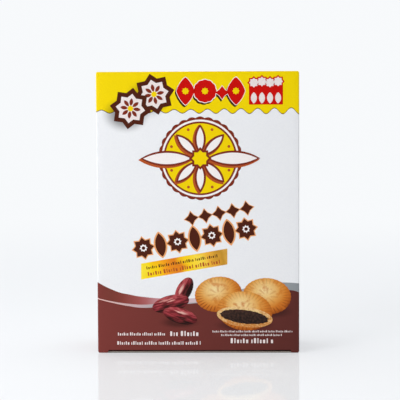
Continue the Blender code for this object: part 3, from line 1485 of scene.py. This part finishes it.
@dataclass(frozen=True)
class TileRows:
    """Two rows of tile shapes, rising to the right, each shape dark with a warm halo."""

    slope: float = 10.4
    lower_start: Spot = Spot(-40.5, 78.6)
    lower_pitch: float = 12.9
    lower_count: int = 7
    upper_start: Spot = Spot(-4.8, 100.6)
    upper_pitch: float = 10.4
    upper_count: int = 5
    star: float = 7.9
    leaf: tuple[float, float] = (17.6, 7.6)
    small_star: float = 5.0
    small_waist: float = 0.56
    halo: float = 1.15
    leaf_halo: tuple[float, float] = (2.4, 2.0)
    small_halo: float = 0.8
    heart: float = 3.0
    dot: float = 1.3

    def row(self, count: int, start: Spot, pitch: float) -> list[Spot]:
        """Gives the spots along a rising row.

        Args:
            count: How many spots there are.
            start: The row's first spot.
            pitch: From one spot to the next.

        Returns:
            The spots.
        """
        rise = math.radians(self.slope)
        across, up = pitch * math.cos(rise), pitch * math.sin(rise)
        return [Spot(start.u + across * n, start.v + up * n, self.slope) for n in range(count)]

    def print_on(self, press: Press) -> None:
        """Prints both rows: halo first, then the dark shape, then its pale heart.

        Args:
            press: The press to print with.
        """
        lower = self.row(self.lower_count, self.lower_start, self.lower_pitch)
        small = self.row(self.upper_count, self.upper_start, self.upper_pitch)
        stars, leaves = lower[::2], lower[1::2]
        for level, (part, grow, ink) in enumerate(
            (("halo", self.halo, PEACH_INK), ("ink", 0.0, BISTRE_INK)), 1
        ):
            length, width = (size + grow * more for size, more in zip(self.leaf, self.leaf_halo))
            tip = self.small_star + grow * self.small_halo
            for name, plate, spots in (
                ("row_stars", star_plate(self.star + grow), stars),
                ("row_leaves", petal_plate(length, width), leaves),
                ("upper_row", star_plate(tip, 4, self.small_waist), small),
            ):
                press.lay(f"{name}_{part}", plate, ink, level, spots=spots)
        press.lay("row_star_hearts", star_plate(self.heart), PALE_INK, 3, spots=stars)
        press.lay("row_star_dots", rim_plate(self.dot, repeats=16), BISTRE_INK, 4, spots=stars)


@dataclass(frozen=True)
class Greeking:
    """Small print that reads as nothing: blocks as large and as dense as letters.

    Each line is given as its left end, its right end, its base and its height. The other
    sizes are shares of that height, and each block takes the next ones in turn.
    """

    name: str
    lines: tuple[tuple[float, float, float, float], ...]
    ink: Finish = CREAM_INK
    panel: Panel = Panel.FRONT
    level: float = 1
    slope: float = 0.0
    widths: tuple[float, ...] = (0.32, 0.44, 0.24, 0.40, 0.20)
    heights: tuple[float, ...] = (1.0, 0.70, 0.70, 0.94, 0.70, 0.72, 1.0)
    word: int = 6
    gap: float = 0.28
    word_gap: float = 0.60
    corner: float = 0.18

    def print_on(self, press: Press) -> None:
        """Prints each line as words of blocks.

        Args:
            press: The press to print with.
        """
        spots = []
        for row, (left, right, base, height) in enumerate(self.lines):
            at, number = left, row * 3
            while at < right:
                wide = height * self.widths[number % len(self.widths)]
                tall = height * self.heights[number % len(self.heights)]
                lift = (at - self.lines[0][0]) * math.tan(math.radians(self.slope))
                spots.append(Spot(at + wide / 2, base + lift + tall / 2, self.slope, wide, tall))
                ends_word = number % self.word == self.word - 1
                at += wide + height * (self.word_gap if ends_word else self.gap)
                number += 1
        block = bar_plate(1, 1, self.corner)
        press.lay(f"greeking_{self.name}", block, self.ink, self.level, self.panel, spots)


@dataclass(frozen=True)
class GoldStrip:
    """A golden strip that rises to the right, with two rows of small dashes on it.

    A row is given as its gaps at the left and the right, its base above the strip's lower
    edge, and its height.
    """

    left: float = -42.4
    right: float = 21.7
    low: float = 55.2
    height: float = 11.8
    rise: float = 11.1
    upper_row: tuple[float, ...] = (4.0, 7.0, 7.4, 2.3)
    lower_row: tuple[float, ...] = (5.0, 5.0, 2.6, 3.0)

    def print_on(self, press: Press) -> None:
        """Prints the strip and its dashes.

        Args:
            press: The press to print with.
        """
        width = self.right - self.left
        middle = Spot((self.left + self.right) / 2, self.low + (self.height + self.rise) / 2)
        strip = bar_plate(width, self.height, rise=self.rise)
        press.lay("gold_strip", strip, GoldFoil(), 1, spots=[middle])
        slope = math.degrees(math.atan(self.rise / width))
        for name, (left_gap, right_gap, base, height), ink in (
            ("strip_upper", self.upper_row, BISTRE_INK),
            ("strip_lower", self.lower_row, TERRACOTTA_INK),
        ):
            line = (self.left + left_gap, self.right - right_gap, self.low + base, height)
            Greeking(name, (line,), ink, level=2, slope=slope).print_on(press)


@dataclass(frozen=True)
class CookiePicture:
    """A picture of two whole moulded cookies and a half one with its date filling, and dates.

    Each spot is as wide and as tall as what lies on it, from its middle. The crust that is
    drawn on the half cookie is a little flatter than the plate under it.
    """

    dates: tuple[Spot, ...] = (
        Spot(-10.5, 47.0, 62.0, 10.5, 5.6),
        Spot(-20.5, 37.0, 14.0, 14.0, 6.3),
        Spot(-13.5, 28.0, -16.0, 13.0, 5.8),
    )
    cookies: tuple[Spot, ...] = (
        Spot(15.0, 44.0, 6.0, 17.6, 13.2),
        Spot(51.0, 42.5, -5.0, 18.0, 13.6),
    )
    flutes: int = 34
    flute_dip: float = 0.985
    half_top: Spot = Spot(34.5, 31.5, -7.0, 20.6, 14.626)
    half_top_drawing: Spot = Spot(34.5, 31.5, -7.0, 20.6, 14.6)
    half_flutes: int = 40
    half_flute_dip: float = 0.988
    half_rosette: float = 10.0
    cut_face: Spot = Spot(34.5, 27.0, -7.0, 20.8, 7.488)
    paste: Spot = Spot(34.3, 27.2, -7.0, 18.4, 5.244)
    paste_points: int = 56
    paste_edge: Range = (0.93, 1.02)
    paste_seed: int = 7

    def print_on(self, press: Press) -> None:
        """Prints the picture from the back to the front.

        Args:
            press: The press to print with.
        """
        for number, spot in enumerate(self.dates):
            ink = DatePicture(f"date_{number}_picture_ink", spot=spot)
            press.lay(f"date_{number}", rim_plate(1), ink, 2 + number, spots=[spot])
        for number, spot in enumerate(self.cookies):
            ink = CrustPicture(f"whole_cookie_{number}_ink", spot=spot, flutes=self.flutes)
            plate = scallop_plate(1, self.flutes, self.flute_dip)
            press.lay(f"whole_cookie_{number}", plate, ink, 5, spots=[spot])
        crust = CrustPicture(
            "half_cookie_crust_ink",
            spot=self.half_top_drawing,
            flutes=self.half_flutes,
            rosette=self.half_rosette,
        )
        top = scallop_plate(1, self.half_flutes, self.half_flute_dip)
        press.lay("half_cookie_top", top, crust, 6, spots=[self.half_top])
        crumb = FilledPicture(
            "cut_crust_picture_ink",
            light="#f0cd90",
            dark="#c9803c",
            foot_and_top=(19.0, 35.0),
            grain_mm=1.1,
        )
        press.lay("half_cookie_face", rim_plate(1), crumb, 7, spots=[self.cut_face])
        lumps = random.Random(self.paste_seed)
        ragged = [lumps.uniform(*self.paste_edge) for _ in range(self.paste_points)]
        paste = FilledPicture("date_paste_picture_ink")
        press.lay("half_cookie_paste", rim_plate(1, ragged, 1), paste, 8, spots=[self.paste])


@dataclass(frozen=True)
class StarSeal:
    """Two overlapping eight-pointed tiles, each dark with a pale field and a flower in it.

    The sizes of a tile's parts are shares of its radius.
    """

    places: tuple[Spot, ...] = (Spot(-32.0, 192.4, 12), Spot(-49.5, 182.0, -8))
    radius: float = 15.4
    field_share: float = 0.71
    petal: tuple[float, float, float] = (0.36, 0.17, 0.31)
    heart: float = 0.14
    heart_dip: float = 0.9

    def print_on(self, press: Press) -> None:
        """Prints the rear tile, then the front one over it.

        Args:
            press: The press to print with.
        """
        size = self.radius
        length, width, away = (size * share for share in self.petal)
        for number, spot in enumerate(self.places):
            base = 1 + 3 * number
            for part, plate, ink, level in (
                ("edge", tile_star(size), BISTRE_INK, base),
                ("field", tile_star(size * self.field_share), CREAM_INK, base + 1),
                ("flower", copies(petal_plate(length, width), ring_of(8, away)), MAROON_INK, base + 2),
                ("heart", scallop_plate(size * self.heart, 8, self.heart_dip), GOLDEN_INK, base + 2.5),
            ):
                press.lay(f"seal_{number}_{part}", plate, ink, level, spots=[spot])


@dataclass(frozen=True)
class CountShapes:
    """Bold red shapes with a pale edge and a drop shadow.

    A coat of ink is given as how far it runs over the shape and how far down it lies.
    """

    lozenges: tuple[Spot, ...] = (Spot(-8.8, 194.6), Spot(28.4, 194.6))
    discs: tuple[Spot, ...] = (Spot(5.6, 194.6),)
    small: tuple[Spot, ...] = (Spot(18.2, 193.4),)
    lozenge: float = 10.1
    lozenge_narrowing: float = 0.66
    disc: float = 8.4
    disc_lobes: int = 12
    disc_dip: float = 0.95
    star: float = 5.0
    star_waist: float = 0.60
    heart: float = 2.7
    coats: tuple[tuple[str, Ink, float, float], ...] = (
        ("shadow", SHADE_INK, 0.5, 1.3),
        ("edge", PALE_INK, 0.55, 0.0),
        ("red", RED_INK, 0.0, 0.0),
    )
    sideways: float = 0.7

    def print_on(self, press: Press) -> None:
        """Prints the shadows, then the edges, then the red, then what is reversed out of it.

        Args:
            press: The press to print with.
        """
        for level, (part, ink, grow, drop) in enumerate(self.coats, 1):
            lozenge = lozenge_plate(self.lozenge + grow)
            disc = scallop_plate(self.disc + grow, self.disc_lobes, self.disc_dip)
            star = star_plate(self.star + grow, 4, self.star_waist)
            for name, plate, spots, narrow in (
                ("lozenges", lozenge, self.lozenges, self.lozenge_narrowing),
                ("discs", disc, self.discs, 1.0),
                ("star", star, self.small, 1.0),
            ):
                moved = [Spot(s.u - drop * self.sideways, s.v - drop, 0, narrow) for s in spots]
                press.lay(f"count_{name}_{part}", plate, ink, level, spots=moved)
        hearts = (*self.lozenges, *self.discs)
        press.lay("count_hearts", tile_star(self.heart), GOLDEN_INK, 4, spots=hearts)


@dataclass(frozen=True)
class Plaque:
    """A red plaque with pale lozenges on it and a crown of stars along its top."""

    middle: Spot = Spot(50.5, 191.8)
    size: tuple[float, float] = (25.0, 14.6)
    corner: float = 0.5
    count: int = 4
    first: float = 41.6
    pitch: float = 5.95
    lozenge_height: float = 189.4
    lozenge: tuple[float, float] = (8.4, 4.4)
    crown_height: float = 200.6
    crown_step: float = 0.8
    crown_edge: float = 4.9
    crown_star: float = 3.6

    def print_on(self, press: Press) -> None:
        """Prints the plaque, then its lozenges and its crown.

        Args:
            press: The press to print with.
        """
        press.lay("plaque", bar_plate(*self.size, self.corner), RED_INK, 1, spots=[self.middle])
        across = [self.first + self.pitch * n for n in range(self.count)]
        pale = [Spot(u, self.lozenge_height) for u in across]
        press.lay("plaque_lozenges", petal_plate(*self.lozenge), CREAM_INK, 2, spots=pale)
        crown = [
            Spot(u, self.crown_height + self.crown_step * (n % 2)) for n, u in enumerate(across)
        ]
        press.lay("crown_edges", tile_star(self.crown_edge), RED_INK, 1.5, spots=crown)
        press.lay("crown_stars", tile_star(self.crown_star), CREAM_INK, 2.5, spots=crown)


@dataclass(frozen=True)
class TableBox:
    """A ruled box for a table of figures, with lines of greeked print in it.

    The places of the figures are shares of the half width, and their sizes are shares of a
    row's height.
    """

    name: str
    panel: Panel
    low: float
    high: float
    rows: int = 9
    half_width: float = 22.0
    line: float = 0.35
    divider: float = 0.3
    label_gap: float = 2.0
    label_end: float = 0.1
    label_step: float = 0.12
    figure_ends: Range = (0.42, 0.85)
    figure_base: float = 0.28
    figure_height: float = 0.42

    def print_on(self, press: Press) -> None:
        """Prints the box's rules and its small print.

        Args:
            press: The press to print with.
        """
        height = self.high - self.low
        pitch, wide = height / self.rows, self.half_width
        rules = [
            Spot(0, self.low + height * n / self.rows, 0, wide * 2, self.line)
            for n in range(self.rows + 1)
        ]
        rules += [
            Spot(at, self.low + height / 2, 0, self.line, height)
            for at in (-wide, wide * self.divider, wide)
        ]
        press.lay(f"{self.name}_rules", bar_plate(1, 1), BISTRE_INK, 1, self.panel, rules)
        lines = []
        for n in range(self.rows):
            base, tall = self.low + pitch * (n + self.figure_base), pitch * self.figure_height
            label_end = wide * (self.label_end - self.label_step * (n % 3))
            lines.append((-wide + self.label_gap, label_end, base, tall))
            lines.append((wide * self.figure_ends[0], wide * self.figure_ends[1], base, tall))
        Greeking(f"{self.name}_figures", tuple(lines), BISTRE_INK, self.panel).print_on(press)


@dataclass(frozen=True)
class BarBlock:
    """A block of plain bars of mixed widths on white, as packs carry, that codes nothing."""

    panel: Panel
    middle: Spot
    width: float = 30.0
    height: float = 18.0
    margin: float = 2.5
    corner: float = 0.6
    most_bars: int = 36
    widths: tuple[float, ...] = (0.35, 0.7, 0.35, 1.05, 0.35, 0.7)
    gaps: tuple[float, ...] = (0.35, 0.6, 0.45)

    def print_on(self, press: Press) -> None:
        """Prints the block's white ground and its bars.

        Args:
            press: The press to print with.
        """
        ground = bar_plate(self.width + 2 * self.margin, self.height + 2 * self.margin, self.corner)
        press.lay("bar_block_ground", ground, PALE_INK, 1, self.panel, [self.middle])
        end = self.middle.u + self.width / 2
        spots, at = [], end - self.width
        for number in range(self.most_bars):
            wide = self.widths[number * number % len(self.widths)]
            if at + wide > end:
                break
            spots.append(Spot(at + wide / 2, self.middle.v, 0, wide, self.height))
            at += wide + self.gaps[number % len(self.gaps)]
        press.lay("bar_block_bars", bar_plate(1, 1), BISTRE_INK, 2, self.panel, spots)


def paragraph(
    half_width: float, short: float, every: int, top: float, pitch: float, height: float, count: int
) -> tuple[tuple[float, float, float, float], ...]:
    """Gives the lines of a greeked paragraph.

    Args:
        half_width: Half the length of a full line.
        short: How much shorter each last line of a few is.
        every: How many lines these few are.
        top: The first line's base.
        pitch: From one line down to the next.
        height: A line's height.
        count: How many lines there are.

    Returns:
        The lines, as Greeking takes them.
    """
    lines = []
    for n in range(count):
        right = half_width - (short if n % every == every - 1 else 0.0)
        lines.append((-half_width, right, top - pitch * n, height))
    return tuple(lines)


@dataclass(frozen=True)
class Print:
    """Everything that is printed over the carton's fields of colour."""

    shadows: tuple[PrintedShadow, ...] = (
        PrintedShadow(Spot(-53.0, 177.5, 0.0, 19.5, 14.8), 0.66),
        PrintedShadow(Spot(-37.0, 189.0, 0.0, 19.0, 16.0), 0.50),
        PrintedShadow(Spot(34.0, 21.0, 0.0, 25.0, 5.5), 0.6),
        PrintedShadow(Spot(54.0, 31.0, 0.0, 19.0, 6.0), 0.5),
        PrintedShadow(Spot(-14.0, 23.0, 0.0, 17.0, 5.0), 0.55),
    )
    left_lines: tuple[tuple[float, float, float, float], ...] = (
        (-60.0, -24.0, 13.2, 2.3), (-21.0, 1.0, 12.8, 3.8), (-60.5, 1.5, 6.3, 2.6),
    )
    right_lines: tuple[tuple[float, float, float, float], ...] = (
        (10.5, 70.0, 15.5, 1.5), (17.0, 62.0, 12.8, 1.5), (24.0, 55.0, 7.4, 3.8),
    )

    def print_on(self, press: Press) -> None:
        """Prints the front, then the other panels.

        Args:
            press: The press to print with.
        """
        back_lines = paragraph(
            half_width=58.0, short=14.0, every=3, top=108.0, pitch=5.4, height=2.3, count=9
        )
        side_lines = paragraph(
            half_width=22.0, short=7.0, every=4, top=134.0, pitch=4.4, height=1.8, count=11
        )
        for motif in (
            Medallion("emblem"),
            TileRows(),
            GoldStrip(),
            CookiePicture(),
            StarSeal(),
            CountShapes(),
            Plaque(),
            Greeking("left_block", self.left_lines),
            Greeking("right_block", self.right_lines),
            Medallion("back_emblem", Spot(0.0, 146.0), 21.0, Panel.BACK),
            Greeking("back_block", back_lines, BISTRE_INK, Panel.BACK),
            Medallion("left_emblem", Spot(0.0, 158.0), 12.5, Panel.LEFT),
            TableBox("left_table", Panel.LEFT, 66.0, 132.0),
            Medallion("right_emblem", Spot(0.0, 158.0), 12.5, Panel.RIGHT),
            Greeking("right_side_block", side_lines, BISTRE_INK, Panel.RIGHT),
            BarBlock(Panel.RIGHT, Spot(0.0, 72.0)),
            Medallion("top_emblem", Spot(), 13.0, Panel.TOP),
        ):
            motif.print_on(press)


@dataclass(frozen=True)
class LitSweep:
    """White acrylic that faintly mirrors the carton's foot, with a painted glow that grows outwards.

    It glows on every side but the camera's, where it is kept dark so that no haze lies on the
    print. Places are in millimetres, each pair from where a change starts to where it ends, and
    lit_from goes on with the share of the light at either.
    """

    name: str = "backlit_white_acrylic"
    white: str = "#e4e5e7"
    dark: str = "#141414"
    film: str = "#f4f7fb"
    glow_colour: str = "#fbfdff"
    roughness: float = 0.055
    mirror_share: float = 0.31
    lit_from: tuple[float, ...] = (250.0, 1500.0, 0.45, 1.0)
    lit_depths: Range = (-1200.0, -200.0)
    dark_depths: Range = (-1800.0, -2600.0)
    glow: float = 0.965

    def build(self) -> bpy.types.Material:
        """Makes the material.

        Returns:
            The material.
        """
        made = bpy.data.materials.new(self.name)
        made.use_nodes = True
        nodes = Nodes(made.node_tree)
        nodes.tree.nodes.remove(nodes.tree.nodes["Principled BSDF"])
        depth = nodes.add("SeparateXYZ", nodes.place, out=1)
        away = nodes.add("VectorMath", nodes.place, operation="LENGTH", out="Value")
        ease = {"interpolation_type": "SMOOTHSTEP"}
        further = nodes.add("MapRange", away, *self.lit_from, **ease)
        behind = nodes.add("MapRange", depth, *self.lit_depths, **ease)
        in_front = nodes.add("MapRange", depth, *self.dark_depths, **ease)
        lit = nodes.add("Math", further, behind, operation="MULTIPLY")
        shade = nodes.add("Math", lit, in_front, operation="MAXIMUM")
        unlit = nodes.add("Math", 1.0, shade, operation="SUBTRACT")
        share = nodes.add("Math", unlit, self.mirror_share, operation="MULTIPLY")
        # Painted light: a glow with no lamp behind it, which near the carton adds unshadowed light and
        # so paints the carton's contact shadow lighter
        strength = nodes.add("Math", lit, self.glow, operation="MULTIPLY")
        body = nodes.add("BsdfDiffuse", nodes.layer(self.white, (shade, self.dark)))
        film = nodes.add("BsdfGlossy", {"Color": self.film, "Roughness": self.roughness})
        skin = nodes.add("MixShader", share, body, film)
        glow = nodes.add("Emission", self.glow_colour, strength)
        whole = nodes.add("AddShader", skin, glow)
        nodes.feed(nodes.tree.nodes["Material Output"], {"Surface": whole})
        return made


@dataclass
class Studio:
    """The pale floor and backdrop, the soft lights and the camera, in metres and watts."""

    form: Form
    floor_radius: float = 2.6
    bend_starts: float = 3.0
    bend_radius: float = 1.2
    bend_steps: int = 16
    wall_height: float = 4.0
    floor_sides: int = 96
    air: str = "#f4f7fb"
    air_strength: float = 0.22
    softboxes: tuple[tuple[str, tuple[float, float, float], float, float], ...] = (
        ("key_softbox", (-0.78, -0.84, 0.5), 0.6, 8.8),
        ("fill_softbox", (1.5, -1.1, 0.8), 1.3, 2.2),
        ("overhead_softbox", (-0.2, 0.1, 1.9), 1.8, 18.4),
    )
    distance: float = 0.96
    azimuth_degrees: float = 1.3
    tilt_degrees: float = 3.1
    roll_degrees: float = -0.24
    lens: float = 116.7
    sensor: float = 36.0
    nearest: float = 0.01
    aim_across: float = 1.6 * MM
    aim_height: float = 114.2 * MM

    def build(self) -> None:
        """Sets up everything that isn't the object."""
        self.make_floor()
        self.make_lights()
        self.make_camera()

    def make_floor(self) -> None:
        """Makes a seamless bowl: a floor that turns up into a wall on every side."""
        take()
        bpy.ops.mesh.primitive_circle_add(
            vertices=self.floor_sides, radius=self.floor_radius, fill_type="NOTHING"
        )
        floor = bpy.context.object
        floor.name = "studio_sweep"
        profile = [(self.floor_radius, 0.0), (self.bend_starts, 0.0)]
        for step in range(1, self.bend_steps + 1):
            angle = math.pi / 2 * step / self.bend_steps
            out, up = math.sin(angle), 1 - math.cos(angle)
            profile.append((self.bend_starts + self.bend_radius * out, self.bend_radius * up))
        profile.append((self.bend_starts + self.bend_radius, self.wall_height))
        with editing(floor):
            bpy.ops.mesh.select_all(action="SELECT")
            for (old_radius, old_height), (radius, height) in zip(profile, profile[1:]):
                extrude(0, 0, height - old_height)
                wider = radius / old_radius
                bpy.ops.transform.resize(value=(wider, wider, 1), center_override=(0, 0, height))
            pick_edges(lambda place: place.xy.length < (self.floor_radius + self.bend_starts) / 2)
            bpy.ops.mesh.edge_face_add()
            bpy.ops.mesh.select_all(action="SELECT")
            bpy.ops.mesh.normals_make_consistent(inside=True)
        bpy.ops.object.shade_smooth()
        floor.data.materials.append(LitSweep().build())

    def make_lights(self) -> None:
        """Lights the set softly, with the key on the left."""
        world = bpy.data.worlds.new("studio_air")
        world.use_nodes = True
        air = world.node_tree.nodes["Background"]
        air.inputs["Color"].default_value = linear(self.air)
        air.inputs["Strength"].default_value = self.air_strength
        bpy.context.scene.world = world
        bpy.context.scene.view_settings.view_transform = "Standard"
        for name, place, side, power in self.softboxes:
            light = bpy.data.lights.new(name, "AREA")
            light.size = side
            light.energy = power
            lamp = bpy.data.objects.new(name, light)
            lamp.location = place
            aim = Vector((0, 0, self.form.height / 2)) - Vector(place)
            lamp.rotation_euler = aim.to_track_quat("-Z", "Y").to_euler()
            bpy.context.scene.collection.objects.link(lamp)

    def make_camera(self) -> None:
        """Places the camera where the photograph was taken from."""
        tilt, azimuth = math.radians(self.tilt_degrees), math.radians(self.azimuth_degrees)
        aim = Vector((self.aim_across, -self.form.depth / 2, self.aim_height))
        level = Vector((math.sin(azimuth), -math.cos(azimuth), 0)) * math.cos(tilt)
        place = aim + (level + Vector((0, 0, math.sin(tilt)))) * self.distance
        lens = bpy.data.cameras.new("photo_camera")
        lens.lens = self.lens
        lens.sensor_width = self.sensor
        lens.clip_start = self.nearest
        camera = bpy.data.objects.new("photo_camera", lens)
        camera.location = place
        roll = Matrix.Rotation(math.radians(self.roll_degrees), 3, "Z")
        facing = (aim - place).to_track_quat("-Z", "Y").to_matrix()
        camera.rotation_euler = (facing @ roll).to_euler()
        bpy.context.scene.collection.objects.link(camera)
        bpy.context.scene.camera = camera


def finish_piece(piece: Thing, *nodes: str) -> None:
    """Fixes a piece to the carton's body and reports it.

    Args:
        piece: The finished piece.
        nodes: The frame's nodes that it stands for.
    """
    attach(piece, BODY)
    if nodes:
        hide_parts(*nodes)
    log.info("%s: %d faces", piece.name, len(piece.data.polygons))


def main() -> None:
    """Builds the carton, its print and the studio."""
    logging.basicConfig(level=logging.INFO, format="%(name)s %(message)s")
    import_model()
    form = Form.from_frame()
    Studio(form).build()
    artwork = Print()
    outside = BoardPrint(shadows=artwork.shadows)
    board = FoldedBlank(form).build(outside, RawEdge(), UncoatedBack())
    finish_piece(board, CAD_NODE)
    press = Press(form)
    artwork.print_on(press)
    for piece in press.printed:
        finish_piece(piece)


if __name__ == "__main__":
    main()
